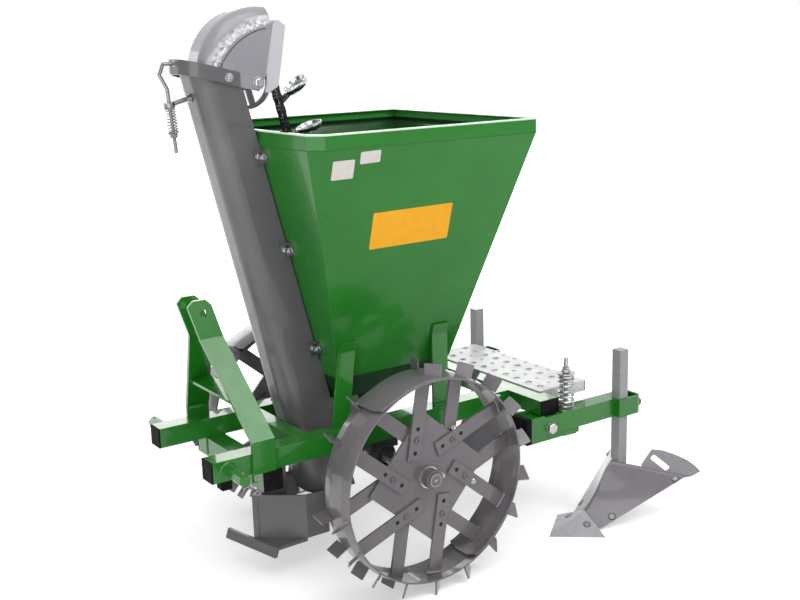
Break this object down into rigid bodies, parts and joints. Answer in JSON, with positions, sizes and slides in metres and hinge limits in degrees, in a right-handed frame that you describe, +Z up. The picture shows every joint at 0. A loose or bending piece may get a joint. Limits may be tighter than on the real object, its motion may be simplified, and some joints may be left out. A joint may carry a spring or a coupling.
{
  "type": "potato planter",
  "caption": "Single-row potato planter for a tractor hitch: tapered hopper, inclined cup-chain elevator tube, steel lug wheels, furrow opener and two sprung ridgers.",
  "frame": {"origin": "middle of the machine's length and width, at the ground", "axes": "+X forward to the tractor, +Y to the machine's left, +Z up"},
  "size_m": [1.3168, 0.941, 1.393],
  "materials": {
    "bare_shaft_steel": "machined",
    "black_cast_housing": "painted black",
    "black_plastic": "matte",
    "dark_chain_steel": "oiled",
    "green_paint": "gloss",
    "grey_paint": "satin",
    "hood_grey_paint": "satin",
    "hopper_green_paint": "gloss",
    "pale_step_plate": "satin",
    "ridger_steel": "satin",
    "wheel_grey_paint": "satin",
    "zinc_hardware": "zinc plated"
  },
  "bodies": {
    "frame": {"axle_bearings": "black_cast_housing", "bottom_sprocket": "dark_chain_steel", "cup_chain": "dark_chain_steel", "elevator_hood": "hood_grey_paint", "elevator_tube": "grey_paint", "end_caps": "black_plastic", "foot_plate": "pale_step_plate", "front_cross_tube": "green_paint", "headstock_braces": "green_paint", "headstock_leg_left": "green_paint", "headstock_leg_right": "green_paint", "hitch_pin_left": "green_paint", "hitch_pin_right": "green_paint", "hood_band": "grey_paint", "hopper": "hopper_green_paint", "hopper_boot": "grey_paint", "hopper_supports": "green_paint", "main_beam_left": "green_paint", "main_beam_right": "green_paint", "middle_cross_tube": "green_paint", "opener_body": "grey_paint", "opener_shank": "grey_paint", "opener_share": "grey_paint", "rear_cross_beam": "green_paint", "ridger_arm_left": "green_paint", "ridger_arm_right": "green_paint", "ridger_body_left": "ridger_steel", "ridger_body_right": "ridger_steel", "ridger_brackets": "green_paint", "ridger_points": "ridger_steel", "ridger_springs": "zinc_hardware", "ridger_tine_left": "grey_paint", "ridger_tine_right": "grey_paint", "ridger_wings": "ridger_steel", "rod_eye_bar": "zinc_hardware", "tension_rod": "zinc_hardware", "tension_spring": "zinc_hardware", "top_sprocket": "dark_chain_steel", "tube_clamps": "zinc_hardware", "wheel_axle": "bare_shaft_steel"},
    "left_wheel": {"wheel_hub_left": "wheel_grey_paint", "wheel_lugs_left": "wheel_grey_paint", "wheel_rim_left": "wheel_grey_paint", "wheel_spokes_left": "wheel_grey_paint"},
    "right_wheel": {"wheel_hub_right": "wheel_grey_paint", "wheel_lugs_right": "wheel_grey_paint", "wheel_rim_right": "wheel_grey_paint", "wheel_spokes_right": "wheel_grey_paint"}
  },
  "joints": [
    {"name": "left_wheel_spin", "type": "hinge", "parent": "frame", "child": "left_wheel", "pos_m": [0.17838, 0.341, 0.288], "axis": [0, 1, 0], "continuous": true},
    {"name": "right_wheel_spin", "type": "hinge", "parent": "frame", "child": "right_wheel", "pos_m": [0.17838, -0.341, 0.288], "axis": [0, 1, 0], "continuous": true}
  ]
}
